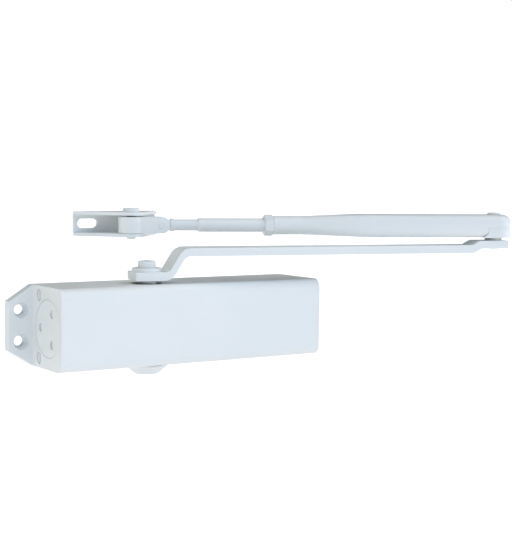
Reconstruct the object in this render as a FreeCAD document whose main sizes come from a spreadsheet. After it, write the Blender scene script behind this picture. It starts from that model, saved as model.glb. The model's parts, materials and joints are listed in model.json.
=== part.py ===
import FreeCAD, Part
import Sketcher
import math, os

# Overhead door closer: rack-and-pinion body, folded arm pair and wall shoe.
# +X runs along the closer body, -Y is the front cover side, +Z is up.
# The origin is the centre of the four fixing holes, on the back (mounting) plane.

V = FreeCAD.Vector
doc = FreeCAD.newDocument("door_closer")
sheet = doc.addObject("Spreadsheet::Sheet", "Sizes")

SIZES = [
    ("body_length", 212.0), ("body_depth", 54.0), ("body_height", 57.0), ("body_edge_r", 6.5),
    ("ear_width", 18.0), ("ear_thick", 7.8), ("ear_half", 17.2), ("ear_root_r", 1.0),
    ("hole_out", 8.8), ("hole_pitch", 22.0), ("hole_radius", 3.5), ("hole_mouth_r", 5.7), ("hole_land", 2.6),
    ("axis_from_front", 22.0), ("bore_radius", 18.0), ("mouth_radius", 20.2), ("mouth_depth", 13.0),
    ("spindle_x", -29.85), ("top_bore_r", 11.0), ("cap_bore_r", 13.0),
    ("valve_y", -17.7), ("valve_z", 21.7), ("valve_bore_r", 4.2), ("valve_bore_deep", 24.0),
    ("plug_radius", 20.15), ("plug_thick", 12.6), ("nose_radius", 17.92), ("nose_end", 20.0),
    ("spanner_pitch_r", 12.2), ("spanner_hole_r", 3.15), ("spanner_deep", 1.4),
    ("cap_rim_r", 15.5), ("cap_end_r", 9.0), ("cap_drop", 7.3),
    ("journal_r", 7.7), ("foot_journal_r", 6.0), ("pinion_face", 20.0),
    ("gear_module", 1.5), ("gear_teeth", 11), ("gear_shift", 0.36), ("drive_square", 10.6),
    ("arm_angle", 13.04), ("arm_reach", 279.53), ("arm_width", 23.6), ("arm_tip_width", 17.9), ("arm_thick", 6.0),
    ("arm_low_z", 30.9), ("arm_mid_z", 47.9), ("arm_end_z", 51.2), ("arm_back", 11.1), ("arm_tail", 8.7),
    ("washer_radius", 10.7), ("washer_thick", 2.8), ("screw_head_r", 6.4), ("screw_head_tall", 4.9),
    ("fore_angle", 20.0), ("fore_z", 68.5), ("shell_half_width", 13.0), ("shell_height", 17.3),
    ("shell_straight", 104.0), ("neck_end", 177.5), ("neck_radius", 7.05), ("shell_wall", 1.8),
    ("elbow_pin_r", 4.0), ("nut_length", 6.8), ("nut_flats", 13.9),
    ("rod_radius", 5.1), ("rod_neck_r", 4.15), ("rod_step", 234.0),
    ("tilt_at", 262.1), ("shoe_at", 284.05), ("fork_radius", 9.3), ("fork_height", 12.0),
    ("fork_half_width", 6.8), ("fork_end_r", 6.0), ("tilt_pin_r", 2.9), ("shoe_pin_r", 3.3),
    ("shoe_length", 67.6), ("shoe_height", 18.1), ("shoe_plate", 2.4), ("shoe_lift", 0.4), ("shoe_back", 28.0),
    ("shoe_ear_r", 9.3), ("slot_spacing", 45.4), ("slot_length", 16.4), ("slot_half", 3.5),
    ("piston_radius", 17.95), ("piston_left", -83.0), ("piston_length", 83.0),
    ("spring_length", 83.0), ("outer_wire_r", 2.2), ("outer_mean_r", 14.2),
    ("inner_wire_r", 1.4), ("inner_mean_r", 8.4),
]
for i, (name, val) in enumerate(SIZES, start=1):
    sheet.set("A%d" % i, name)
    sheet.set("B%d" % i, str(val))
    sheet.setAlias("B%d" % i, name)
doc.recompute()
S = {name: float(sheet.get(name)) for name, _ in SIZES}


def ev(e):
    """Value of a size expression written with sheet names."""
    if isinstance(e, (int, float)):
        return float(e)
    toks, cur = [], ""
    for ch in e:
        if ch.isalnum() or ch in "_.":
            cur += ch
        else:
            if cur:
                toks.append(cur)
            cur = ""
            if ch.strip():
                toks.append(ch)
    if cur:
        toks.append(cur)
    pos = [0]

    def atom():
        tk = toks[pos[0]]
        pos[0] += 1
        if tk == "(":
            r = add()
            pos[0] += 1
            return r
        if tk == "-":
            return -atom()
        if tk in ("cos", "sin"):
            a = atom()
            return math.cos(math.radians(a)) if tk == "cos" else math.sin(math.radians(a))
        return S[tk] if tk in S else float(tk)

    def mul():
        r = atom()
        while pos[0] < len(toks) and toks[pos[0]] in "*/":
            op = toks[pos[0]]
            pos[0] += 1
            b = atom()
            r = r * b if op == "*" else r / b
        return r

    def add():
        r = mul()
        while pos[0] < len(toks) and toks[pos[0]] in "+-":
            op = toks[pos[0]]
            pos[0] += 1
            b = mul()
            r = r + b if op == "+" else r - b
        return r
    return add()


def fx(e):
    """The same expression with every sheet name qualified."""
    if isinstance(e, (int, float)):
        return None
    out, cur = "", ""
    for ch in e + " ":
        if ch.isalnum() or ch in "_.":
            cur += ch
        else:
            if cur:
                out += ("Sizes." + cur) if cur in S else cur
                cur = ""
            out += ch
    return out.strip()


def bind(obj, prop, e):
    f = fx(e)
    if f:
        obj.setExpression(prop, f)


def new_body(label):
    b = doc.addObject("PartDesign::Body", label)
    b.Label = label
    return b


def plane(body, role):
    for f in body.Origin.OriginFeatures:
        if getattr(f, "Role", "") == role:
            return f
    raise RuntimeError(role)


def new_sketch(body, role, offset=0.0, name="Sk"):
    sk = body.newObject("Sketcher::SketchObject", name)
    sk.AttachmentSupport = [(plane(body, role), "")]
    sk.MapMode = "FlatFace"
    sk.AttachmentOffset = FreeCAD.Placement(V(0, 0, ev(offset)), FreeCAD.Rotation())
    if fx(offset):
        sk.setExpression("AttachmentOffset.Base.z", fx(offset))
    return sk


def pin_point(sk, g, p, x, y):
    for axis, e in (("X", x), ("Y", y)):
        v = ev(e)
        if abs(v) < 1e-9:
            sk.addConstraint(Sketcher.Constraint("PointOnObject", g, p, -2 if axis == "X" else -1))
        else:
            k = sk.addConstraint(Sketcher.Constraint("Distance" + axis, -1, 1, g, p, v))
            if fx(e):
                sk.setExpression("Constraints[%d]" % k, fx(e))


def poly(sk, pts):
    n = len(pts)
    vs = [V(ev(x), ev(y), 0) for x, y in pts]
    base = sk.GeometryCount
    for i in range(n):
        sk.addGeometry(Part.LineSegment(vs[i], vs[(i + 1) % n]), False)
    for i in range(n):
        sk.addConstraint(Sketcher.Constraint("Coincident", base + i, 2, base + (i + 1) % n, 1))
    for i, (x, y) in enumerate(pts):
        pin_point(sk, base + i, 1, x, y)


def circle(sk, x, y, r):
    g = sk.addGeometry(Part.Circle(V(ev(x), ev(y), 0), V(0, 0, 1), ev(r)), False)
    k = sk.addConstraint(Sketcher.Constraint("Radius", g, ev(r)))
    if fx(r):
        sk.setExpression("Constraints[%d]" % k, fx(r))
    pin_point(sk, g, 3, x, y)


def round_rect(sk, w, h, r, cy=0.0):
    """Rounded rectangle, 4 lines and 4 arcs, centred on (0, cy)."""
    w, h, r, cy = ev(w) / 2.0, ev(h) / 2.0, ev(r), ev(cy)
    c = [(w - r, h - r, 0), (-w + r, h - r, 90), (-w + r, -h + r, 180), (w - r, -h + r, 270)]
    base = sk.GeometryCount
    geo = []
    for i, (x, y, a) in enumerate(c):
        a0, a1 = math.radians(a), math.radians(a + 90)
        geo.append(Part.ArcOfCircle(Part.Circle(V(x, y + cy, 0), V(0, 0, 1), r), a0, a1))
        nx, ny, na = c[(i + 1) % 4]
        nb = math.radians(na)
        p0 = V(x + r * math.cos(a1), y + cy + r * math.sin(a1), 0)
        p1 = V(nx + r * math.cos(nb), ny + cy + r * math.sin(nb), 0)
        geo.append(Part.LineSegment(p0, p1))
    sk.addGeometry(geo, False)
    for i in range(8):
        sk.addConstraint(Sketcher.Constraint("Coincident", base + i, 2, base + (i + 1) % 8, 1))
    for i in range(8):
        sk.addConstraint(Sketcher.Constraint("Block", base + i))


def closed_path(sk, segs):
    """Lines and arcs given as geometry, joined end to end and blocked."""
    base = sk.GeometryCount
    sk.addGeometry(segs, False)
    for i in range(len(segs)):
        sk.addConstraint(Sketcher.Constraint("Block", base + i))


def pad(body, sk, length, rev=False, name="Pad"):
    f = body.newObject("PartDesign::Pad", name)
    f.Profile = sk
    f.Length = ev(length)
    bind(f, "Length", length)
    f.Reversed = rev
    sk.Visibility = False
    doc.recompute()
    return f


def pocket(body, sk, length=None, rev=False, name="Pocket"):
    before = body.Shape.Volume
    f = body.newObject("PartDesign::Pocket", name)
    f.Profile = sk
    if length is None:
        f.Type = "ThroughAll"
    else:
        f.Length = ev(length)
        bind(f, "Length", length)
    f.Reversed = rev
    sk.Visibility = False
    doc.recompute()
    if body.Shape.Volume > before - 1e-3:
        f.Reversed = not rev
        doc.recompute()
    if body.Shape.Volume > before - 1e-3:
        raise RuntimeError("pocket removed nothing: " + body.Label + " " + f.Name)
    return f


def revolve(body, sk, axis="V_Axis", name="Rev"):
    f = body.newObject("PartDesign::Revolution", name)
    f.Profile = sk
    f.ReferenceAxis = (sk, [axis])
    f.Angle = 360.0
    sk.Visibility = False
    doc.recompute()
    return f


def groove(body, sk, axis="V_Axis", name="Groove"):
    before = body.Shape.Volume
    f = body.newObject("PartDesign::Groove", name)
    f.Profile = sk
    f.ReferenceAxis = (sk, [axis])
    f.Angle = 360.0
    sk.Visibility = False
    doc.recompute()
    if body.Shape.Volume > before - 1e-3:
        raise RuntimeError("groove removed nothing: " + body.Label)
    return f


def edges_where(shape, test):
    out = []
    for i, e in enumerate(shape.Edges, start=1):
        try:
            if test(e):
                out.append("Edge%d" % i)
        except Exception:
            pass
    return out


def dress(body, kind, size, test, name=None):
    base = body.Tip
    names = edges_where(base.Shape, test)
    if not names:
        raise RuntimeError("no edges for %s on %s" % (kind, body.Label))
    f = body.newObject("PartDesign::" + kind, name or kind)
    f.Base = (base, names)
    if kind == "Fillet":
        f.Radius = ev(size)
        bind(f, "Radius", size)
    else:
        f.Size = ev(size)
        bind(f, "Size", size)
    base.Visibility = False
    doc.recompute()
    return f


def along(e, axis):
    d = e.Vertexes[-1].Point.sub(e.Vertexes[0].Point)
    if d.Length < 1e-6 or e.Curve.TypeId != "Part::GeomLine":
        return False
    return abs(abs(getattr(d, axis)) - d.Length) < 1e-6


def near(a, b, tol=0.02):
    return abs(a - b) < tol


def is_circle(e, r):
    return e.Curve.TypeId == "Part::GeomCircle" and near(e.Curve.Radius, r)


def place(obj, x="0", y="0", z="0", angle=0.0, axis=V(0, 0, 1)):
    obj.Placement = FreeCAD.Placement(V(ev(x), ev(y), ev(z)), FreeCAD.Rotation(axis, ev(angle)))
    for k, e in (("x", x), ("y", y), ("z", z)):
        if fx(e) and not near(ev(e), 0, 1e-9):
            obj.setExpression("Placement.Base." + k, fx(e))
    if fx(angle):
        obj.setExpression("Placement.Rotation.Angle", fx(angle))


NODES = []


def keep(obj, label):
    obj.Label = label
    NODES.append((label, obj))


def turned(label, pts, role="XZ_Plane", axis="V_Axis"):
    """A turned piece from its half section."""
    b = new_body(label)
    sk = new_sketch(b, role)
    poly(sk, pts)
    revolve(b, sk, axis)
    keep(b, label)
    return b


SPX, SPY = "spindle_x", "axis_from_front-body_depth"
ELX = "spindle_x+arm_reach*cos(arm_angle)"
ELY = "axis_from_front-body_depth-arm_reach*sin(arm_angle)"
HALF = "body_length/2"
TOP = "body_height/2"

# ---------------------------------------------------------------- body casting
b = new_body("body_casting")
sk = new_sketch(b, "YZ_Plane", "-body_length/2")
poly(sk, [("-body_depth", "-body_height/2"), (0, "-body_height/2"), (0, "body_height/2"),
          ("-body_depth", "body_height/2")])
pad(b, sk, "body_length")
sk = new_sketch(b, "XZ_Plane")
poly(sk, [("-body_length/2-ear_width", "-ear_half"), ("-body_length/2", "-body_height/2"),
          ("body_length/2", "-body_height/2"), ("body_length/2+ear_width", "-ear_half"),
          ("body_length/2+ear_width", "ear_half"), ("body_length/2", "body_height/2"),
          ("-body_length/2", "body_height/2"), ("-body_length/2-ear_width", "ear_half")])
pad(b, sk, "ear_thick", name="Ears")
if b.Shape.BoundBox.YMax > 0.01:
    raise RuntimeError("ears on the wrong side")
dress(b, "Fillet", "body_edge_r", lambda e: along(e, "x") and near(e.Vertexes[0].Y, -S["body_depth"])
      and e.Length > 100, "FrontEdges")
dress(b, "Fillet", "ear_root_r", lambda e: along(e, "z") and near(abs(e.Vertexes[0].X), S["body_length"] / 2)
      and near(e.Vertexes[0].Y, -S["ear_thick"]), "EarRoots")
sk = new_sketch(b, "YZ_Plane", "-body_length/2-ear_width")
circle(sk, SPY, 0, "bore_radius")
pocket(b, sk, "body_length+2*ear_width", True, "MainBore")
for side in (-1, 1):
    sk = new_sketch(b, "YZ_Plane", "%sbody_length/2" % ("-" if side < 0 else ""))
    circle(sk, SPY, 0, "mouth_radius")
    f = pocket(b, sk, "mouth_depth", side < 0, "Mouth")
sk = new_sketch(b, "XY_Plane", "body_height/2")
circle(sk, SPX, SPY, "top_bore_r")
pocket(b, sk, "body_height/2", False, "TopBore")
sk = new_sketch(b, "XY_Plane", "-body_height/2")
circle(sk, SPX, SPY, "cap_bore_r")
pocket(b, sk, "body_height/2", True, "CapBore")
for zs in ("", "-"):
    sk = new_sketch(b, "YZ_Plane", "-body_length/2")
    circle(sk, "valve_y", zs + "valve_z", "valve_bore_r")
    pocket(b, sk, "valve_bore_deep", True, "ValveBore")
    sk = new_sketch(b, "YZ_Plane", "-body_length/2")
    circle(sk, "valve_y", zs + "valve_z", 1.9)
    pocket(b, sk, 170.0, True, "Gallery")
    for gx in (-76.0, 60.0):
        sk = new_sketch(b, "XY_Plane", zs + "valve_z")
        circle(sk, gx, "valve_y", 1.3)
        pocket(b, sk, "valve_z", zs == "-", "CrossPort")
sk = new_sketch(b, "XZ_Plane", "ear_thick+1")
for sx in (-1, 1):
    for sz in (-1, 1):
        circle(sk, "%s(body_length/2+hole_out)" % ("-" if sx < 0 else "0+"),
               "%shole_pitch/2" % ("-" if sz < 0 else ""), "hole_radius")
pocket(b, sk, "ear_thick+2", True, "FixingHoles")
for sx in (-1, 1):
    for sz in (-1, 1):
        cones = []
        for off, rad in (("ear_thick", "hole_mouth_r"), ("hole_land", "hole_radius")):
            sk = new_sketch(b, "XZ_Plane", off)
            circle(sk, "%s(body_length/2+hole_out)" % ("-" if sx < 0 else "0+"),
                   "%shole_pitch/2" % ("-" if sz < 0 else ""), rad)
            cones.append(sk)
        before = b.Shape.Volume
        f = b.newObject("PartDesign::SubtractiveLoft", "Countersink")
        f.Profile = cones[0]
        f.Sections = [cones[1]]
        f.Ruled = True
        doc.recompute()
        for c in cones:
            c.Visibility = False
        if b.Shape.Volume > before - 1:
            raise RuntimeError("countersink removed nothing")
keep(b, "body_casting")

# ---------------------------------------------------------------- end plugs and their seals
for side, label in (("-", "end_plug_left"), ("", "end_plug_right")):
    b = new_body(label)
    sk = new_sketch(b, "XY_Plane")
    poly(sk, [(0, 0), (0, "plug_radius-0.5"), (0.5, "plug_radius"), ("plug_thick", "plug_radius"),
              ("plug_thick", "nose_radius"), ("plug_thick+2", "nose_radius"), ("plug_thick+2", "nose_radius-1.9"),
              ("plug_thick+4.4", "nose_radius-1.9"), ("plug_thick+4.4", "nose_radius"), ("nose_end", "nose_radius"),
              ("nose_end", 13.0), (9.0, 13.0), (9.0, 0)])
    revolve(b, sk, "H_Axis")
    sk = new_sketch(b, "YZ_Plane")
    for a in (0, 120, 240):
        circle(sk, "spanner_pitch_r*%.8f" % math.cos(math.radians(a)) if a == 0 else
               "-spanner_pitch_r*0.5", 0 if a == 0 else
               ("spanner_pitch_r*0.8660254" if a == 120 else "-spanner_pitch_r*0.8660254"), "spanner_hole_r")
    pocket(b, sk, "spanner_deep", True, "SpannerHoles")
    if side == "-":
        place(b, "-body_length/2", SPY, "0")
    else:
        place(b, "body_length/2", SPY, "0", 180.0, V(0, 1, 0))
    keep(b, label)

for side, label in ((-1, "plug_seal_left"), (1, "plug_seal_right")):
    t = doc.addObject("Part::Torus", label)
    t.Radius1 = 16.98
    t.Radius2 = 0.9
    t.setExpression("Radius1", fx("nose_radius-0.93"))
    t.Placement = FreeCAD.Placement(V(side * (S["body_length"] / 2 - S["plug_thick"] - 3.2), ev(SPY), 0),
                                    FreeCAD.Rotation(V(0, 1, 0), 90))
    keep(t, label)

# ---------------------------------------------------------------- bottom cap, bearings, shaft seal
b = turned("bottom_cap", [
    (0, "-body_height/2-cap_drop"), ("cap_end_r-1", "-body_height/2-cap_drop"),
    ("cap_end_r", "-body_height/2-cap_drop+0.5"), ("cap_rim_r", "-body_height/2-1.5"),
    ("cap_rim_r", "-body_height/2-0.4"), ("cap_rim_r-0.9", "-body_height/2-0.4"),
    ("cap_rim_r-0.9", "-body_height/2-0.04"), (12.94, "-body_height/2-0.04"),
    (12.94, -27.6), (11.2, -27.6), (11.2, -25.6), (12.94, -25.6), (12.94, -19.6),
    (9.05, -19.6), (9.05, -30.6), (0, -30.6)])
place(b, SPX, SPY, "0")
t = doc.addObject("Part::Torus", "cap_seal")
t.Radius1 = 12.1
t.Radius2 = 0.82
t.Placement = FreeCAD.Placement(V(ev(SPX), ev(SPY), -26.6), FreeCAD.Rotation())
keep(t, "cap_seal")
for label, ro, ri, z0, z1 in (("bearing_upper", 10.97, "journal_r+0.05", 17.2, 23.0),
                              ("bearing_lower", 9.0, "foot_journal_r+0.05", -30.0, -20.6)):
    b = turned(label, [(ri, z0), (ro, z0), (ro, z1), (ri, z1)])
    place(b, SPX, SPY, "0")
b = turned("shaft_seal", [("journal_r+0.05", 24.4), (9.2, 24.4), (9.2, 23.4), (10.97, 23.4),
                          (10.97, 28.2), (8.6, 28.2), ("journal_r+0.05", 27.0)])
place(b, SPX, SPY, "0")

# ---------------------------------------------------------------- pinion shaft
m, zt, xs = S["gear_module"], int(S["gear_teeth"]), S["gear_shift"]
PA = math.radians(20)
rp = m * zt / 2.0
rb = rp * math.cos(PA)
ra = rp + m * (1 + xs) - 0.06
rf = rp - m * (1.25 - xs)
half_thick = (m * (math.pi / 2 + 2 * xs * math.tan(PA)) - 0.12) / (2 * rp)


def inv(a):
    return math.tan(a) - a


def flank(r):
    r = max(r, rb)
    return half_thick + inv(PA) - inv(math.acos(min(1.0, rb / r)))


def gear_points(turn):
    pts = []
    radii = [rb + (ra - rb) * k / 5.0 for k in range(6)]
    for k in range(zt):
        c = turn + 2 * math.pi * k / zt
        g = math.pi / zt
        for r, a in ([(rf, -g * 0.98), (rf, -flank(rb) - 0.02)] + [(r, -flank(r)) for r in radii]
                     + [(r, flank(r)) for r in reversed(radii)] + [(rf, flank(rb) + 0.02)]):
            if r == rf and a == -g * 0.98:
                continue
            pts.append((r * math.cos(c + a), r * math.sin(c + a)))
    return pts


b = new_body("pinion_shaft")
sk = new_sketch(b, "XZ_Plane")
poly(sk, [(0, -29.6), ("foot_journal_r-0.5", -29.6), ("foot_journal_r", -29.1), ("foot_journal_r", -19.0),
          (6.8, -19.0), (6.8, 16.6), ("journal_r", 16.6), ("journal_r", "arm_low_z-0.05"), (0, "arm_low_z-0.05")])
revolve(b, sk)
sk = new_sketch(b, "XY_Plane", "-pinion_face/2")
gp = gear_points(math.radians(90 + S["arm_angle"]))
closed_path(sk, [Part.LineSegment(V(gp[i][0], gp[i][1], 0), V(gp[(i + 1) % len(gp)][0], gp[(i + 1) % len(gp)][1], 0))
                 for i in range(len(gp))])
pad(b, sk, "pinion_face", name="Teeth")
sk = new_sketch(b, "XY_Plane", "arm_low_z-0.05")
poly(sk, [("-drive_square/2", "-drive_square/2"), ("drive_square/2", "-drive_square/2"),
          ("drive_square/2", "drive_square/2"), ("-drive_square/2", "drive_square/2")])
pad(b, sk, "arm_thick-0.4", name="Drive")
sk = new_sketch(b, "XY_Plane", "arm_low_z+arm_thick-0.45")
circle(sk, 0, 0, 3.0)
pocket(b, sk, 16.0, False, "TappedHole")
place(b, SPX, SPY, "0", "-arm_angle")
keep(b, "pinion_shaft")

# ---------------------------------------------------------------- main arm
b = new_body("main_arm")
sk = new_sketch(b, "XZ_Plane", "-arm_width/2")
LZ, MZ, EZ = "arm_low_z", "arm_mid_z", "arm_end_z"
poly(sk, [("-arm_back", LZ), (15.4, LZ), (25.8, MZ), (258.2, MZ), (264.6, EZ), ("arm_reach+arm_tail", EZ),
          ("arm_reach+arm_tail", EZ + "+arm_thick"), (263.4, EZ + "+arm_thick"), (257.2, MZ + "+arm_thick"),
          (24.0, MZ + "+arm_thick"), (13.6, LZ + "+arm_thick"), ("-arm_back", LZ + "+arm_thick")])
pad(b, sk, "arm_width", name="Plate")


def bend(x, z, r, nm):
    dress(b, "Fillet", r, lambda e: along(e, "y") and near(e.Vertexes[0].X, x) and near(e.Vertexes[0].Z, z), nm)


lz, mz, ez, at = S["arm_low_z"], S["arm_mid_z"], S["arm_end_z"], S["arm_thick"]
bend(15.4, lz, 9.5, "LowOut")
bend(13.6, lz + at, 5.5, "LowIn")
bend(24.0, mz + at, 10.0, "HighOut")
bend(25.8, mz, 6.5, "HighIn")
for x, z in ((258.2, mz), (264.6, ez), (263.4, ez + at), (257.2, mz + at)):
    bend(x, z, 2.6, "Joggle")
for side in (-1, 1):
    sk = new_sketch(b, "XY_Plane", "arm_low_z-1")
    y0 = "%sarm_width/2" % ("-" if side < 0 else "")
    y1 = "%sarm_tip_width/2" % ("-" if side < 0 else "")
    y2 = "%s(arm_width/2+5)" % ("-" if side < 0 else "0+")
    poly(sk, [(0, y0), ("arm_reach", y1), ("arm_reach+arm_tail+2", y1), ("arm_reach+arm_tail+2", y2), (0, y2)])
    pocket(b, sk, "arm_end_z-arm_low_z+arm_thick+2", True, "Taper")
dress(b, "Fillet", 0.5, lambda e: along(e, "z") and near(e.Vertexes[0].X, S["arm_reach"] + S["arm_tail"]), "TipCorners")
dress(b, "Fillet", 0.5, lambda e: along(e, "z") and near(e.Vertexes[0].X, -S["arm_back"]), "HubCorners")
sk = new_sketch(b, "XY_Plane", "arm_low_z-1")
q = "(drive_square+0.1)/2"
poly(sk, [("-" + q, "-" + q), (q, "-" + q), (q, q), ("-" + q, q)])
pocket(b, sk, "arm_thick+2", True, "DriveHole")
sk = new_sketch(b, "XY_Plane", "arm_end_z-1")
circle(sk, "arm_reach", 0, "elbow_pin_r+0.02")
pocket(b, sk, "arm_thick+2", True, "ElbowHole")
place(b, SPX, SPY, "0", "-arm_angle")
keep(b, "main_arm")

AT = "arm_low_z+arm_thick"
b = turned("arm_washer", [(3.3, AT + "+0.02"), ("washer_radius", AT + "+0.02"), ("washer_radius", AT + "+washer_thick-0.7"),
                          ("washer_radius-0.2", AT + "+washer_thick-0.25"), ("washer_radius-0.7", AT + "+washer_thick"),
                          (3.3, AT + "+washer_thick")])
place(b, SPX, SPY, "0", "-arm_angle")
HT = AT + "+washer_thick+screw_head_tall"
b = turned("arm_screw", [(0, 22.5), (2.4, 22.5), (2.95, 23.1), (2.95, AT + "+washer_thick+0.02"),
                         ("screw_head_r", AT + "+washer_thick+0.02"), ("screw_head_r", HT + "-1.3"),
                         ("screw_head_r-0.4", HT + "-0.4"), ("screw_head_r-1.3", HT), (0, HT)])
sk = new_sketch(b, "XY_Plane", HT)
poly(sk, [(2.9 * math.cos(math.radians(60 * k)), 2.9 * math.sin(math.radians(60 * k)))for k in range(6)])
pocket(b, sk, 2.8, False, "Socket")
place(b, SPX, SPY, "0", "-arm_angle")

# ---------------------------------------------------------------- elbow
EF = "180-fore_angle"
ET = "arm_end_z+arm_thick"
b = turned("elbow_washer", [("elbow_pin_r+0.05", ET + "+0.02"), (6.6, ET + "+0.02"), (6.6, "fore_z-shell_height/2-0.35"),
                            ("elbow_pin_r+0.05", "fore_z-shell_height/2-0.35")])
place(b, ELX, ELY, "0", "-arm_angle")
FT = "fore_z+shell_height/2"
FB = "fore_z-shell_height/2"
b = turned("elbow_pin", [(0, "arm_end_z-0.75"), (3.6, "arm_end_z-0.75"), (4.7, "arm_end_z-0.3"), (4.7, "arm_end_z-0.03"),
                         ("elbow_pin_r", "arm_end_z-0.03"), ("elbow_pin_r", FT + "+0.15"), (5.4, FT + "+0.15"),
                         (5.3, FT + "+0.5"), (4.5, FT + "+1.3"), (3.6, FT + "+1.55"), (0, FT + "+1.6")])
place(b, ELX, ELY, "0", "-arm_angle")

b = new_body("elbow_hub")
sk = new_sketch(b, "XY_Plane", FB + "-0.3")
R = S["shell_half_width"]
cut = 9.3
closed_path(sk, [Part.ArcOfCircle(Part.Circle(V(0, 0, 0), V(0, 0, 1), R), math.radians(90), math.radians(270)),
                 Part.LineSegment(V(0, -R, 0), V(cut, -R, 0)), Part.LineSegment(V(cut, -R, 0), V(cut, R, 0)),
                 Part.LineSegment(V(cut, R, 0), V(0, R, 0))])
pad(b, sk, 7.5, name="Skirt")
sk = new_sketch(b, "XZ_Plane", "-shell_half_width")
poly(sk, [(cut - 1.0, FB + "-0.3"), (cut + 2.9, FB + "-0.3"), (cut + 2.9, FB + "+0.3"), (cut, FB + "+2.6"), (cut - 1.0, FB + "+2.6")])
pad(b, sk, "2*shell_half_width", name="Flare")
dress(b, "Chamfer", 0.5, lambda e: near(e.BoundBox.ZMin, ev(FB) - 0.3) and near(e.BoundBox.ZMax, ev(FB) - 0.3), "FootEdge")
sk = new_sketch(b, "XY_Plane", FB + "+2.6")
poly(sk, [(0, -7.0), (36.0, -7.0), (36.0, 7.0), (0, 7.0)])
pad(b, sk, 4.0, name="Tongue")
sk = new_sketch(b, "XY_Plane", FB + "+1")
circle(sk, 0, 0, 7.4)
pad(b, sk, "shell_height-shell_wall-1.2", name="Boss")
sk = new_sketch(b, "XY_Plane", FB + "-1")
circle(sk, 0, 0, 5.05)
pocket(b, sk, "shell_height+2", True, "HubBore")
place(b, ELX, ELY, "0", EF)
keep(b, "elbow_hub")
b = turned("elbow_bush", [("elbow_pin_r+0.05", FB + "-0.3"), (5.0, FB + "-0.3"), (5.0, FT + "-shell_wall-0.2"),
                          ("elbow_pin_r+0.05", FT + "-shell_wall-0.2")])
place(b, ELX, ELY, "0", EF)

# ---------------------------------------------------------------- forearm shell
b = new_body("forearm_shell")
sk = new_sketch(b, "XY_Plane", FB)
LS = S["shell_straight"]
closed_path(sk, [Part.ArcOfCircle(Part.Circle(V(0, 0, 0), V(0, 0, 1), R), math.radians(90), math.radians(270)),
                 Part.LineSegment(V(0, -R, 0), V(LS, -R, 0)), Part.LineSegment(V(LS, -R, 0), V(LS, R, 0)),
                 Part.LineSegment(V(LS, R, 0), V(0, R, 0))])
pad(b, sk, "shell_height", name="Blank")
dress(b, "Fillet", 6.0, lambda e: e.BoundBox.XMax < LS - 0.01 or along(e, "x") and
      (near(e.BoundBox.ZMin, ev(FB)) or near(e.BoundBox.ZMin, ev(FT))), "Crown")
secs = []
for i, (x, w, h, r) in enumerate(((LS, 2 * R, S["shell_height"], 6.0), (112.0, 25.2, 17.0, 6.1), (128.0, 20.6, 15.9, 6.3),
                                  (146.0, 15.7, 14.5, 6.7), (156.0, 14.1, 14.1, 6.95), (S["neck_end"], 14.1, 14.1, 6.95))):
    sk = new_sketch(b, "YZ_Plane", x)
    round_rect(sk, w, h, r, "fore_z")
    secs.append(sk)
f = b.newObject("PartDesign::AdditiveLoft", "Swage")
f.Profile = secs[0]
f.Sections = secs[1:]
f.Ruled = True
doc.recompute()
for s_ in secs:
    s_.Visibility = False
W = S["shell_wall"]
sk = new_sketch(b, "YZ_Plane", "shell_straight")
round_rect(sk, 2 * R - 2 * W, S["shell_height"] - 2 * W, 4.2, "fore_z")
pocket(b, sk, "shell_straight+4", False, "Hollow")
secs = []
for i, (x, w, h, r) in enumerate(((LS, 2 * R - 2 * W, S["shell_height"] - 2 * W, 4.2), (112.0, 21.6, 13.4, 4.4),
                                  (128.0, 17.0, 12.3, 4.7), (146.0, 12.1, 11.4, 4.9))):
    sk = new_sketch(b, "YZ_Plane", x)
    round_rect(sk, w, h, r, "fore_z")
    secs.append(sk)
f = b.newObject("PartDesign::SubtractiveLoft", "HollowSwage")
f.Profile = secs[0]
f.Sections = secs[1:]
f.Ruled = True
doc.recompute()
for s_ in secs:
    s_.Visibility = False
sk = new_sketch(b, "YZ_Plane", "neck_end")
circle(sk, 0, "fore_z", "rod_radius+0.06")
pocket(b, sk, "neck_end-140", False, "NeckThread")
sk = new_sketch(b, "XZ_Plane", -20.0)
poly(sk, [(-20.0, 50.0), (cut + 3.0, 50.0), (cut + 3.0, FB + "+0.35"), (cut + 0.1, FB + "+2.7"), (cut + 0.1, FB + "+7.3"),
          (-20.0, FB + "+7.3")])
pocket(b, sk, 40.0, False, "HubNotch")
sk = new_sketch(b, "XY_Plane", FB)
circle(sk, 0, 0, 7.5)
pocket(b, sk, "shell_height-shell_wall", True, "BossRoom")
sk = new_sketch(b, "XY_Plane", FB)
circle(sk, 0, 0, "elbow_pin_r+0.15")
pocket(b, sk, "shell_height+2", True, "PinHole")
place(b, ELX, ELY, "0", EF)
keep(b, "forearm_shell")

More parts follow.
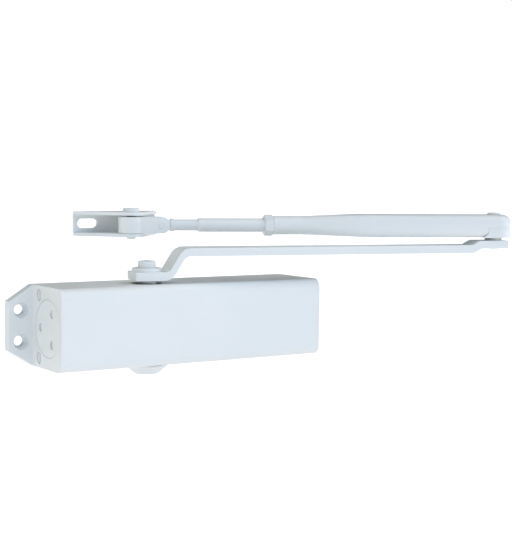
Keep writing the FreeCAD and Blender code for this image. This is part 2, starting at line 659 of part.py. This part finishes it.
# ---------------------------------------------------------------- jam nut and adjusting rod
b = new_body("jam_nut")
sk = new_sketch(b, "XY_Plane")
AF = S["nut_flats"] / 2
AC = AF / math.cos(math.radians(30))
x0, x1 = "neck_end+0.05", "neck_end+0.05+nut_length"
poly(sk, [(x0, "rod_radius+0.06"), (x0, AF - 0.1), (ev(x0) + 0.75, AC), (ev(x1) - 0.75, AC), (x1, AF - 0.1),
          (x1, "rod_radius+0.06")])
revolve(b, sk, "H_Axis")
sk = new_sketch(b, "YZ_Plane", "neck_end-1")
closed_path(sk, [Part.LineSegment(V(AC * math.sin(math.radians(60 * k)), AC * math.cos(math.radians(60 * k)), 0),
                                  V(AC * math.sin(math.radians(60 * k + 60)), AC * math.cos(math.radians(60 * k + 60)), 0))
                 for k in range(6)])
sk2 = new_sketch(b, "YZ_Plane", "neck_end-1")
closed_path(sk2, [Part.Circle(V(0, 0, 0), V(0, 0, 1), AC + 3)] +
            [Part.LineSegment(V(AC * math.sin(math.radians(60 * k)), AC * math.cos(math.radians(60 * k)), 0),
                              V(AC * math.sin(math.radians(60 * k + 60)), AC * math.cos(math.radians(60 * k + 60)), 0))
             for k in range(6)])
b.removeObject(sk)
doc.removeObject(sk.Name)
pocket(b, sk2, "nut_length+4", True, "Flats")
place(b, ELX, ELY, "fore_z", EF)
keep(b, "jam_nut")

b = new_body("adjusting_rod")
sk = new_sketch(b, "XY_Plane")
poly(sk, [(110.0, 0), (110.0, "rod_radius-0.8"), (110.8, "rod_radius"), ("rod_step", "rod_radius"),
          ("rod_step+0.9", "rod_neck_r"), (252.5, "rod_neck_r"), (252.8, 4.75), (255.1, 4.75), (255.6, 4.25), (255.6, 0)])
revolve(b, sk, "H_Axis")
sk = new_sketch(b, "XZ_Plane", -3.7)
TA = S["tilt_at"]
closed_path(sk, [Part.ArcOfCircle(Part.Circle(V(TA, 0, 0), V(0, 0, 1), 4.9), math.radians(-90), math.radians(90)),
                 Part.LineSegment(V(TA, 4.9, 0), V(254.6, 3.3, 0)), Part.LineSegment(V(254.6, 3.3, 0), V(254.6, -3.3, 0)),
                 Part.LineSegment(V(254.6, -3.3, 0), V(TA, -4.9, 0))])
pad(b, sk, 7.4, name="Tongue")
sk = new_sketch(b, "XZ_Plane", -5.0)
circle(sk, "tilt_at", 0, "tilt_pin_r+0.05")
pocket(b, sk, 10.0, True, "Eye")
place(b, ELX, ELY, "fore_z", EF)
keep(b, "adjusting_rod")

# ---------------------------------------------------------------- swivel fork and tilt pin
b = new_body("swivel_fork")
FH = S["fork_height"] / 2
SA = S["shoe_at"]
sk = new_sketch(b, "XY_Plane", "-fork_height/2")
circle(sk, "shoe_at", 0, "fork_radius")
pad(b, sk, "fork_height", name="Barrel")
sk = new_sketch(b, "XZ_Plane", "-fork_half_width")
ER = S["fork_end_r"]
closed_path(sk, [Part.ArcOfCircle(Part.Circle(V(TA, 0, 0), V(0, 0, 1), ER), math.radians(90), math.radians(270)),
                 Part.LineSegment(V(TA, -ER, 0), V(SA - 3, -ER, 0)), Part.LineSegment(V(SA - 3, -ER, 0), V(SA - 3, ER, 0)),
                 Part.LineSegment(V(SA - 3, ER, 0), V(TA, ER, 0))])
pad(b, sk, "2*fork_half_width", name="Cheeks")
sk = new_sketch(b, "XY_Plane", "-fork_height/2-1")
poly(sk, [(250.0, -4.0), ("tilt_at+6.5", -4.0), ("tilt_at+6.5", 4.0), (250.0, 4.0)])
pocket(b, sk, "fork_height+2", True, "Gap")
sk = new_sketch(b, "XY_Plane", "-fork_height/2-1")
circle(sk, "shoe_at", 0, "shoe_pin_r+0.05")
pocket(b, sk, "fork_height+2", True, "PinBore")
sk = new_sketch(b, "XZ_Plane", "-fork_half_width-1")
circle(sk, "tilt_at", 0, "tilt_pin_r+0.02")
pocket(b, sk, "2*fork_half_width+2", True, "TiltHole")
place(b, ELX, ELY, "fore_z", EF)
keep(b, "swivel_fork")
b = new_body("tilt_pin")
sk = new_sketch(b, "XY_Plane")
poly(sk, [("tilt_at", "-fork_half_width-0.55"), ("tilt_at+tilt_pin_r-0.7", "-fork_half_width-0.55"),
          ("tilt_at+tilt_pin_r", "-fork_half_width-0.1"), ("tilt_at+tilt_pin_r", "fork_half_width+0.1"),
          ("tilt_at+tilt_pin_r-0.7", "fork_half_width+0.55"), ("tilt_at", "fork_half_width+0.55")])
f = b.newObject("PartDesign::Revolution", "Rev")
f.Profile = sk
f.ReferenceAxis = (sk, ["Edge6"])
f.Angle = 360.0
doc.recompute()
place(b, ELX, ELY, "fore_z", EF)
keep(b, "tilt_pin")

# ---------------------------------------------------------------- shoe bracket and pin
PX = ELX + "-shoe_at*cos(fore_angle)"
PY = ELY + "+shoe_at*sin(fore_angle)"
b = new_body("shoe_bracket")
sk = new_sketch(b, "XY_Plane", "-shoe_height/2")
hl, bk, er = S["shoe_length"] / 2, S["shoe_back"], S["shoe_ear_r"]
ex, ey = hl, bk - 5.0
dist = math.hypot(ex, ey)
base_a = math.atan2(ey, ex)
tang = base_a - math.acos(er / dist)
tx, ty = er * math.cos(tang), er * math.sin(tang)
closed_path(sk, [Part.LineSegment(V(-hl, bk, 0), V(-ex, ey, 0)), Part.LineSegment(V(-ex, ey, 0), V(-tx, ty, 0)),
                 Part.ArcOfCircle(Part.Circle(V(0, 0, 0), V(0, 0, 1), er), math.pi - tang, 2 * math.pi + tang),
                 Part.LineSegment(V(tx, ty, 0), V(ex, ey, 0)), Part.LineSegment(V(ex, ey, 0), V(hl, bk, 0)),
                 Part.LineSegment(V(hl, bk, 0), V(-hl, bk, 0))])
pad(b, sk, "shoe_height", name="Blank")
dress(b, "Fillet", 2.2, lambda e: along(e, "x") and near(e.Vertexes[0].Y, bk), "Bends")
sk = new_sketch(b, "YZ_Plane", "-shoe_length/2-1")
poly(sk, [(-20.0, "-shoe_height/2+shoe_plate"), ("shoe_back-shoe_plate", "-shoe_height/2+shoe_plate"),
          ("shoe_back-shoe_plate", "shoe_height/2-shoe_plate"), (-20.0, "shoe_height/2-shoe_plate")])
pocket(b, sk, "shoe_length+2", True, "Channel")
sk = new_sketch(b, "XZ_Plane", "-shoe_back-1")
sr, sl = S["slot_half"], S["slot_length"] / 2 - S["slot_half"]
for sx in (-1, 1):
    cx = sx * S["slot_spacing"] / 2
    closed_path(sk, [Part.ArcOfCircle(Part.Circle(V(cx - sl, 0, 0), V(0, 0, 1), sr), math.radians(90), math.radians(270)),
                     Part.LineSegment(V(cx - sl, -sr, 0), V(cx + sl, -sr, 0)),
                     Part.ArcOfCircle(Part.Circle(V(cx + sl, 0, 0), V(0, 0, 1), sr), math.radians(-90), math.radians(90)),
                     Part.LineSegment(V(cx + sl, sr, 0), V(cx - sl, sr, 0))])
pocket(b, sk, "shoe_plate+4", False, "Slots")
sk = new_sketch(b, "XY_Plane", "-shoe_height/2-1")
circle(sk, 0, 0, "shoe_pin_r+0.02")
pocket(b, sk, "shoe_height+2", True, "PinHole")
place(b, PX, PY, "fore_z+shoe_lift")
keep(b, "shoe_bracket")
b = turned("shoe_pin", [(0, "-shoe_height/2-1.7"), ("shoe_pin_r-0.4", "-shoe_height/2-1.7"),
                        ("shoe_pin_r", "-shoe_height/2-1.3"), ("shoe_pin_r", "shoe_height/2+0.02"),
                        (6.1, "shoe_height/2+0.02"), (6.1, "shoe_height/2+2.3"), (5.6, "shoe_height/2+2.75"),
                        (0, "shoe_height/2+2.75")])
place(b, PX, PY, "fore_z+shoe_lift")

# ---------------------------------------------------------------- piston with rack, ring, check valve
b = new_body("piston")
sk = new_sketch(b, "YZ_Plane", "piston_left")
circle(sk, 0, 0, "piston_radius")
pad(b, sk, "piston_length", name="Slug")
sk = new_sketch(b, "XY_Plane", -20.0)
ref = rp + xs * m
tip, root = ref - m, ref + 1.25 * m
pitch = math.pi * m
sx0, wl, wr = S["spindle_x"], -67.5, -17.6
prof = [(wr, -10.9), (wr, root)]
k = 0
hw = pitch / 4 - 0.04
teeth = []
while True:
    c = sx0 - (k - 1 + 0.5) * pitch
    if c - pitch / 2 < wl + 1.0:
        break
    teeth.append(c)
    k += 1
for c in teeth:
    prof += [(c + hw + 1.25 * m * math.tan(PA), root), (c + hw - m * math.tan(PA), tip),
             (c - hw + m * math.tan(PA), tip), (c - hw - 1.25 * m * math.tan(PA), root)]
prof = [p for i, p in enumerate(prof) if i == 0 or abs(p[0] - prof[i - 1][0]) + abs(p[1] - prof[i - 1][1]) > 1e-6]
prof += [(wl, root), (wl, -10.9)]
closed_path(sk, [Part.LineSegment(V(prof[i][0], prof[i][1], 0), V(prof[(i + 1) % len(prof)][0], prof[(i + 1) % len(prof)][1], 0))
                 for i in range(len(prof))])
pocket(b, sk, 40.0, True, "Window")
sk = new_sketch(b, "XY_Plane")
poly(sk, [(-79.5, "piston_radius-1.7"), (-77.1, "piston_radius-1.7"), (-77.1, 20.0), (-79.5, 20.0)])
groove(b, sk, "H_Axis", "RingGroove")
sk = new_sketch(b, "XY_Plane")
poly(sk, [(-83.5, 0), (-73.0, 0), (-73.0, 3.2), (-83.5, 3.2)])
groove(b, sk, "H_Axis", "ValveSeat")
sk = new_sketch(b, "YZ_Plane", -74.0)
circle(sk, 0, 0, 1.5)
pocket(b, sk, 8.0, True, "ValvePort")
sk = new_sketch(b, "XY_Plane")
poly(sk, [(-9.0, 0), (0.5, 0), (0.5, 5.5), (-9.0, 5.5)])
groove(b, sk, "H_Axis", "Lightening")
place(b, "0", SPY, "0")
keep(b, "piston")
b = turned("piston_ring", [(-79.4, "piston_radius-1.6"), (-77.2, "piston_radius-1.6"), (-77.2, "bore_radius-0.02"),
                           (-79.4, "bore_radius-0.02")], "XY_Plane", "H_Axis")
place(b, "0", SPY, "0")
t = doc.addObject("Part::Sphere", "check_ball")
t.Radius = 2.6
t.Placement = FreeCAD.Placement(V(-75.75, ev(SPY), 0), FreeCAD.Rotation())
keep(t, "check_ball")
b = turned("check_plug", [(-82.9, 1.2), (-79.0, 1.2), (-79.0, 3.15), (-82.9, 3.15)], "XY_Plane", "H_Axis")
place(b, "0", SPY, "0")

# ---------------------------------------------------------------- springs and their seat
for label, rw, rm, turns in (("spring_outer", "outer_wire_r", "outer_mean_r", 9.0),
                             ("spring_inner", "inner_wire_r", "inner_mean_r", 13.0)):
    run = S["spring_length"] - 2 * S[rw] - 0.2
    hx = doc.addObject("Part::Helix", label + "_path")
    hx.Pitch = run / turns
    hx.Height = run
    hx.Radius = S[rm]
    hx.setExpression("Radius", fx(rm))
    hx.setExpression("Height", fx("spring_length-2*%s-0.2" % rw))
    hx.setExpression("Pitch", fx("(spring_length-2*%s-0.2)/%s" % (rw, turns)))
    ci = doc.addObject("Part::Circle", label + "_wire")
    ci.Radius = S[rw]
    ci.setExpression("Radius", fx(rw))
    ci.Placement = FreeCAD.Placement(V(S[rm], 0, 0), FreeCAD.Rotation(V(1, 0, 0), 90))
    sw = doc.addObject("Part::Sweep", label)
    sw.Sections = [ci]
    sw.Spine = (hx, ["Edge1"])
    sw.Solid = True
    sw.Frenet = True
    sw.Placement = FreeCAD.Placement(V(0.1 + S[rw], ev(SPY), 0), FreeCAD.Rotation(V(0, 1, 0), 90))
    doc.recompute()
    keep(sw, label)
b = turned("spring_seat", [("spring_length+0.02", 4.0), ("spring_length+0.02", 17.6), ("body_length/2-nose_end-0.05", 17.6),
                           ("body_length/2-nose_end-0.05", 12.6), ("body_length/2-nose_end+4", 12.6),
                           ("body_length/2-nose_end+4", 4.0)], "XY_Plane", "H_Axis")
place(b, "0", SPY, "0")

# ---------------------------------------------------------------- regulating valves
for zs, nm in (("", "upper"), ("-", "lower")):
    b = new_body("valve_screw_" + nm)
    sk = new_sketch(b, "XY_Plane")
    poly(sk, [(0.6, 0), (0.6, "valve_bore_r-0.5"), (1.0, "valve_bore_r-0.06"), (11.0, "valve_bore_r-0.06"),
              (11.0, "valve_bore_r-1.5"), (13.2, "valve_bore_r-1.5"), (13.2, "valve_bore_r-0.06"),
              (17.0, "valve_bore_r-0.06"), (18.0, 1.8), (26.0, 1.8), (30.0, 0.5), (30.0, 0)])
    revolve(b, sk, "H_Axis")
    sk = new_sketch(b, "YZ_Plane")
    poly(sk, [(-0.5, -3.0), (0.5, -3.0), (0.5, 3.0), (-0.5, 3.0)])
    pocket(b, sk, 1.9, True, "DriverSlot")
    place(b, "-body_length/2", "valve_y", zs + "valve_z")
    keep(b, "valve_screw_" + nm)
    t = doc.addObject("Part::Torus", "valve_seal_" + nm)
    t.Radius1 = 3.44
    t.Radius2 = 0.7
    t.Placement = FreeCAD.Placement(V(-S["body_length"] / 2 + 12.1, S["valve_y"], S["valve_z"] * (-1 if zs else 1)),
                                    FreeCAD.Rotation(V(0, 1, 0), 90))
    keep(t, "valve_seal_" + nm)

# ---------------------------------------------------------------- checks and export
doc.recompute()
bad = []
for o in doc.Objects:
    st = [str(x) for x in o.State]
    if "Invalid" in st or "Error" in st:
        bad.append(o.Name + " " + ",".join(st))
if bad:
    raise RuntimeError("objects in error: " + "; ".join(bad))
names = set()
os.makedirs("parts", exist_ok=True)
for label, o in NODES:
    if label in names:
        raise RuntimeError("double name " + label)
    names.add(label)
    sh = o.Shape
    if sh.isNull() or not sh.isValid() or sh.Volume < 0.5:
        raise RuntimeError("bad shape " + label)
for old in os.listdir("parts"):
    if old.endswith(".step") and old[:-5] not in names:
        os.remove(os.path.join("parts", old))
for label, o in NODES:
    sh = o.Shape
    sh.exportStep("parts/" + label + ".step")
    bb = sh.BoundBox
    print("%-18s solids %d vol %10.1f  x %8.2f %8.2f  y %8.2f %8.2f  z %7.2f %7.2f" % (
        label, len(sh.Solids), sh.Volume, bb.XMin, bb.XMax, bb.YMin, bb.YMax, bb.ZMin, bb.ZMax))
print("nodes", len(NODES))
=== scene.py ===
import bpy, math, json
from mathutils import Matrix, Vector

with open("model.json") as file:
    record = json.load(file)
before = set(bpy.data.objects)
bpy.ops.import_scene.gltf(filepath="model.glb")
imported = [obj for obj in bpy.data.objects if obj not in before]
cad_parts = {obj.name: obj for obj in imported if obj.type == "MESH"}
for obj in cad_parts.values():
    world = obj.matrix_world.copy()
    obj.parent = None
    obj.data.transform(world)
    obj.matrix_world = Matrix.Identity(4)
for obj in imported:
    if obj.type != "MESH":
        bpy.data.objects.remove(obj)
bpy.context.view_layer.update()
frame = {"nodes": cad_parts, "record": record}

scene = bpy.context.scene
nodes = frame["nodes"]


# ------------------------------------------------------------------ material helpers
def new_mat(name):
    m = bpy.data.materials.new(name)
    m.use_nodes = True
    nt = m.node_tree
    nt.nodes.clear()
    out = nt.nodes.new("ShaderNodeOutputMaterial")
    bsdf = nt.nodes.new("ShaderNodeBsdfPrincipled")
    nt.links.new(bsdf.outputs["BSDF"], out.inputs["Surface"])
    return m, nt, bsdf


def noise(nt, scale, detail=3.0, rough=0.5, stretch=None):
    tc = nt.nodes.new("ShaderNodeTexCoord")
    n = nt.nodes.new("ShaderNodeTexNoise")
    n.inputs["Scale"].default_value = scale
    n.inputs["Detail"].default_value = detail
    n.inputs["Roughness"].default_value = rough
    if stretch:
        mp = nt.nodes.new("ShaderNodeMapping")
        mp.inputs["Scale"].default_value = stretch
        nt.links.new(tc.outputs["Object"], mp.inputs["Vector"])
        nt.links.new(mp.outputs["Vector"], n.inputs["Vector"])
    else:
        nt.links.new(tc.outputs["Object"], n.inputs["Vector"])
    return n


def ramp(nt, src, stops):
    r = nt.nodes.new("ShaderNodeValToRGB")
    while len(r.color_ramp.elements) > 1:
        r.color_ramp.elements.remove(r.color_ramp.elements[0])
    r.color_ramp.elements[0].position = stops[0][0]
    r.color_ramp.elements[0].color = stops[0][1]
    for p, c in stops[1:]:
        e = r.color_ramp.elements.new(p)
        e.color = c
    nt.links.new(src, r.inputs["Fac"])
    return r


def maprange(nt, src, a, b, c, d):
    n = nt.nodes.new("ShaderNodeMapRange")
    n.inputs["From Min"].default_value = a
    n.inputs["From Max"].default_value = b
    n.inputs["To Min"].default_value = c
    n.inputs["To Max"].default_value = d
    nt.links.new(src, n.inputs["Value"])
    return n


def mix(nt, fac, a, b, mode="MIX"):
    n = nt.nodes.new("ShaderNodeMix")
    n.data_type = "RGBA"
    n.blend_type = mode
    if isinstance(fac, float):
        n.inputs["Factor"].default_value = fac
    else:
        nt.links.new(fac, n.inputs["Factor"])
    for sock, v in ((n.inputs[6], a), (n.inputs[7], b)):
        if isinstance(v, tuple):
            sock.default_value = v
        else:
            nt.links.new(v, sock)
    return n.outputs[2]


def paint(name, base, rough=0.42, peel=0.010, edge=0.5, crevice_shade=0.55, spec=0.30):
    """Satin powder coat: slow tone drift and fine orange peel, with a painted highlight lightening sharp convex
    edges and painted shade darkening corners, recesses and gaps between parts.
    """
    m, nt, b = new_mat(name)
    slow = noise(nt, 14.0, 3.0, 0.55)
    lo = tuple(c * 0.975 for c in base) + (1,)
    hi = tuple(min(1.0, c * 1.015) for c in base) + (1,)
    tone = ramp(nt, slow.outputs["Fac"], [(0.35, lo), (0.65, hi)])
    fleck = noise(nt, 900.0, 2.0, 0.6)
    fl = ramp(nt, fleck.outputs["Fac"], [(0.42, (0.97, 0.97, 0.97, 1)), (0.60, (1, 1, 1, 1))])
    col = mix(nt, 0.6, tone.outputs["Color"], fl.outputs["Color"], "MULTIPLY")
    # painted shade: the paint colour is darkened where ambient occlusion finds corners, recesses and gaps between
    # parts
    ao = nt.nodes.new("ShaderNodeAmbientOcclusion")
    ao.samples = 8
    ao.inputs["Distance"].default_value = 0.003
    occ = maprange(nt, ao.outputs["AO"], 0.10, 0.50, 0.0, 1.0)
    painted_crevice_shade = mix(nt, occ.outputs["Result"], (crevice_shade, crevice_shade * 1.01, crevice_shade * 0.99, 1), (1, 1, 1, 1))
    col = mix(nt, 1.0, col, painted_crevice_shade, "MULTIPLY")
    geo = nt.nodes.new("ShaderNodeNewGeometry")
    # painted highlight: sharp convex edges (high pointiness) are lightened toward a brighter, warmer white
    edge_highlight_mask = maprange(nt, geo.outputs["Pointiness"], 0.52, 0.60, 0.0, edge)
    col = mix(nt, edge_highlight_mask.outputs["Result"], col, (min(1, base[0] * 1.06), min(1, base[1] * 1.05), min(1, base[2] * 1.03), 1))
    nt.links.new(col, b.inputs["Base Color"])
    rn = noise(nt, 60.0, 2.0, 0.5)
    rr = maprange(nt, rn.outputs["Fac"], 0.3, 0.7, rough - 0.05, rough + 0.05)
    nt.links.new(rr.outputs["Result"], b.inputs["Roughness"])
    pn = noise(nt, 420.0, 2.0, 0.45)
    bump = nt.nodes.new("ShaderNodeBump")
    bump.inputs["Strength"].default_value = 0.12
    bump.inputs["Distance"].default_value = peel * 0.01
    nt.links.new(pn.outputs["Fac"], bump.inputs["Height"])
    nt.links.new(bump.outputs["Normal"], b.inputs["Normal"])
    b.inputs["Metallic"].default_value = 0.0
    b.inputs["IOR"].default_value = 1.48
    b.inputs["Specular IOR Level"].default_value = spec
    return m


def metal(name, base, rough=0.3, stretch=(1, 1, 1), scale=300.0, bumpd=0.00003):
    """Machined or drawn metal: directional marks, patchy oil film."""
    m, nt, b = new_mat(name)
    marks = noise(nt, scale, 3.0, 0.6, stretch)
    slow = noise(nt, 40.0, 2.0, 0.5)
    tone = ramp(nt, slow.outputs["Fac"], [(0.3, tuple(c * 0.82 for c in base) + (1,)), (0.7, tuple(min(1, c * 1.08) for c in base) + (1,))])
    mk = ramp(nt, marks.outputs["Fac"], [(0.35, (0.86, 0.86, 0.86, 1)), (0.65, (1, 1, 1, 1))])
    nt.links.new(mix(nt, 0.8, tone.outputs["Color"], mk.outputs["Color"], "MULTIPLY"), b.inputs["Base Color"])
    rr = maprange(nt, marks.outputs["Fac"], 0.3, 0.7, rough - 0.08, rough + 0.1)
    nt.links.new(rr.outputs["Result"], b.inputs["Roughness"])
    bump = nt.nodes.new("ShaderNodeBump")
    bump.inputs["Strength"].default_value = 0.25
    bump.inputs["Distance"].default_value = bumpd
    nt.links.new(marks.outputs["Fac"], bump.inputs["Height"])
    nt.links.new(bump.outputs["Normal"], b.inputs["Normal"])
    b.inputs["Metallic"].default_value = 1.0
    return m


def polymer(name, base, rough=0.5, spec=0.4):
    m, nt, b = new_mat(name)
    n1 = noise(nt, 120.0, 3.0, 0.5)
    tone = ramp(nt, n1.outputs["Fac"], [(0.3, tuple(c * 0.88 for c in base) + (1,)), (0.7, tuple(min(1, c * 1.1) for c in base) + (1,))])
    nt.links.new(tone.outputs["Color"], b.inputs["Base Color"])
    rr = maprange(nt, n1.outputs["Fac"], 0.3, 0.7, rough - 0.06, rough + 0.06)
    nt.links.new(rr.outputs["Result"], b.inputs["Roughness"])
    n2 = noise(nt, 700.0, 2.0, 0.5)
    bump = nt.nodes.new("ShaderNodeBump")
    bump.inputs["Strength"].default_value = 0.2
    bump.inputs["Distance"].default_value = 0.00002
    nt.links.new(n2.outputs["Fac"], bump.inputs["Height"])
    nt.links.new(bump.outputs["Normal"], b.inputs["Normal"])
    b.inputs["Specular IOR Level"].default_value = spec
    return m


WHITE = (0.84, 0.865, 0.87)
MATS = {
    "white_paint": paint("paint_body", WHITE, 0.38),
    "white_paint_arm": paint("paint_arm", (0.84, 0.865, 0.87), 0.40, 0.008),
    "seal_rubber": polymer("rubber_seal", (0.34, 0.345, 0.34), 0.6),
    "hard_steel": metal("steel_ground", (0.47, 0.48, 0.47), 0.36, (1, 1, 6)),
    "spring_steel": metal("steel_wire", (0.34, 0.35, 0.37), 0.34, (4, 1, 1)),
    "piston_iron": metal("iron_turned", (0.40, 0.40, 0.41), 0.38, (12, 1, 1)),
    "ring_plastic": polymer("ring_ptfe", (0.74, 0.71, 0.62), 0.45),
    "brass_insert": metal("brass_turned", (0.72, 0.52, 0.22), 0.3, (10, 1, 1)),
    "dark_plastic": polymer("acetal_dark", (0.70, 0.72, 0.70), 0.42),
}
slot_of = {s["node"]: s["material_slot"] for s in frame["record"]["subparts"]}
for name, ob in nodes.items():
    mat = MATS[slot_of[name]]
    for i in range(len(ob.material_slots)):
        ob.material_slots[i].material = mat
    if not ob.material_slots:
        ob.data.materials.append(mat)

# small broken edges on the painted pieces, as modifiers only
BEVEL = {"body_casting": 0.0006, "end_plug_left": 0.0003, "end_plug_right": 0.0003, "bottom_cap": 0.0006,
         "main_arm": 0.0003, "elbow_hub": 0.0005, "forearm_shell": 0.0005, "jam_nut": 0.0003, "swivel_fork": 0.0006,
         "shoe_bracket": 0.0005, "arm_screw": 0.0002, "arm_washer": 0.0002, "valve_screw_upper": 0.0002, "valve_screw_lower": 0.0002}
for name, w in BEVEL.items():
    ob = nodes[name]
    bv = ob.modifiers.new("edge_break", "BEVEL")
    bv.width = w
    bv.segments = 3
    bv.limit_method = "ANGLE"
    bv.angle_limit = math.radians(35)
    bv.harden_normals = False
    bv.use_clamp_overlap = True

# ------------------------------------------------------------------ floor, world, lights
FLOOR_NEAR, FLOOR_OUT = 0.45, 0.95
SKY = [(0.0, (0.08, 0.08, 0.08, 1)), (0.60, (0.08, 0.08, 0.08, 1)), (0.70, (0.01, 0.01, 0.01, 1)), (1.0, (0.01, 0.01, 0.01, 1))]
# bearing, height, tightness, colour: solved so that front, top, end and rounded faces take the tones they should
SOFTBOXES = [(-130, 25, 10, (0.00, 0.05, 0.18)),
             (180, 25, 8, (0.00, 0.07, 0.01)),
             (-25, 18, 16, (2.30, 2.33, 2.34)),
             (-90, 50, 12, (1.34, 1.52, 1.69)),
             (-60, 12, 16, (0.33, 0.58, 0.82)),
             (180, 48, 12, (2.16, 2.13, 1.96)),
             (-15, 50, 60, (6.56, 5.90, 5.25)),
             (-120, 40, 12, (0.00, 0.00, 0.08)),
             (-75, 25, 14, (0.00, 0.07, 0.26))]


def plane(name, size, loc, rot=(0, 0, 0)):
    h = size / 2
    me = bpy.data.meshes.new(name)
    me.from_pydata([(-h, -h, 0), (h, -h, 0), (h, h, 0), (-h, h, 0)], [], [(0, 1, 2, 3)])
    ob = bpy.data.objects.new(name, me)
    ob.location = loc
    ob.rotation_euler = rot
    scene.collection.objects.link(ob)
    return ob


floor = plane("studio_floor", 60.0, (0.05, 0.0, -0.55))
m, nt, b = new_mat("floor_white")
fn = noise(nt, 3.0, 2.0, 0.5)
fr = ramp(nt, fn.outputs["Fac"], [(0.3, (0.55, 0.55, 0.55, 1)), (0.7, (0.57, 0.57, 0.57, 1))])
nt.links.new(fr.outputs["Color"], b.inputs["Base Color"])
b.inputs["Roughness"].default_value = 0.9
b.inputs["Specular IOR Level"].default_value = 0.0
# the floor is dimmer right under the piece and rises to a white sweep all round it
ftc = nt.nodes.new("ShaderNodeTexCoord")
fl = nt.nodes.new("ShaderNodeVectorMath")
fl.operation = "LENGTH"
nt.links.new(ftc.outputs["Object"], fl.inputs[0])
fm = maprange(nt, fl.outputs["Value"], 0.75, 1.3, FLOOR_NEAR, FLOOR_OUT)
fm.interpolation_type = "SMOOTHSTEP"
b.inputs["Emission Color"].default_value = (0.97, 0.995, 1.03, 1)
nt.links.new(fm.outputs["Result"], b.inputs["Emission Strength"])
floor.data.materials.append(m)

world = bpy.data.worlds.new("studio")
scene.world = world
world.use_nodes = True
wt = world.node_tree
wt.nodes.clear()
wo = wt.nodes.new("ShaderNodeOutputWorld")
bg = wt.nodes.new("ShaderNodeBackground")
wt.links.new(bg.outputs["Background"], wo.inputs["Surface"])
tc = wt.nodes.new("ShaderNodeTexCoord")
sep = wt.nodes.new("ShaderNodeSeparateXYZ")
wt.links.new(tc.outputs["Generated"], sep.inputs["Vector"])
wr = ramp(wt, maprange(wt, sep.outputs["Z"], -1.0, 1.0, 0.0, 1.0).outputs["Result"], SKY)
total = wr.outputs["Color"]


def vmath(op, a, c):
    n = wt.nodes.new("ShaderNodeVectorMath")
    n.operation = op
    wt.links.new(a, n.inputs[0])
    if isinstance(c, tuple):
        n.inputs[1].default_value = c
    else:
        wt.links.new(c, n.inputs[1])
    return n


# soft boxes painted into the studio dome: bearing, height, tightness, colour
for az, el, tight, rgb in SOFTBOXES:
    az, el = math.radians(az), math.radians(el)
    d = vmath("DOT_PRODUCT", tc.outputs["Generated"], (math.cos(el) * math.cos(az), math.cos(el) * math.sin(az), math.sin(el)))
    lift = maprange(wt, d.outputs["Value"], 0.0, 1.0, 0.0, 1.0)
    pw = wt.nodes.new("ShaderNodeMath")
    pw.operation = "POWER"
    wt.links.new(lift.outputs["Result"], pw.inputs[0])
    pw.inputs[1].default_value = tight
    glow = ramp(wt, pw.outputs["Value"], [(0.0, (0, 0, 0, 1)), (1.0, (1, 1, 1, 1))])
    lit = vmath("MULTIPLY", glow.outputs["Color"], rgb)
    total = vmath("ADD", total, lit.outputs["Vector"]).outputs["Vector"]
lp = wt.nodes.new("ShaderNodeLightPath")
wt.links.new(mix(wt, lp.outputs["Is Camera Ray"], total, (1.0, 1.0, 1.0, 1)), bg.inputs["Color"])
bg.inputs["Strength"].default_value = 1.0

# ------------------------------------------------------------------ camera
cam = bpy.data.cameras.new("view_camera")
cam.sensor_width = 36.0
cam.sensor_fit = "AUTO"
cam.lens = 1339.7 * 36.0 / 553.0
cam.clip_start = 0.01
cam.clip_end = 200.0
co = bpy.data.objects.new("view_camera", cam)
yaw, pitch, roll = math.radians(33.254), math.radians(4.5388), math.radians(0.6663)
fwd = Vector((math.sin(yaw) * math.cos(pitch), math.cos(yaw) * math.cos(pitch), -math.sin(pitch)))
right = Vector((math.cos(yaw), -math.sin(yaw), 0.0))
up = right.cross(fwd)
r2 = right * math.cos(roll) + up * math.sin(roll)
u2 = up * math.cos(roll) - right * math.sin(roll)
co.matrix_world = Matrix(((r2.x, u2.x, -fwd.x, -0.4850), (r2.y, u2.y, -fwd.y, -0.86765),
                          (r2.z, u2.z, -fwd.z, 0.10947), (0, 0, 0, 1)))
scene.collection.objects.link(co)
scene.camera = co
scene.view_settings.view_transform = "Standard"
scene.view_settings.look = "None"
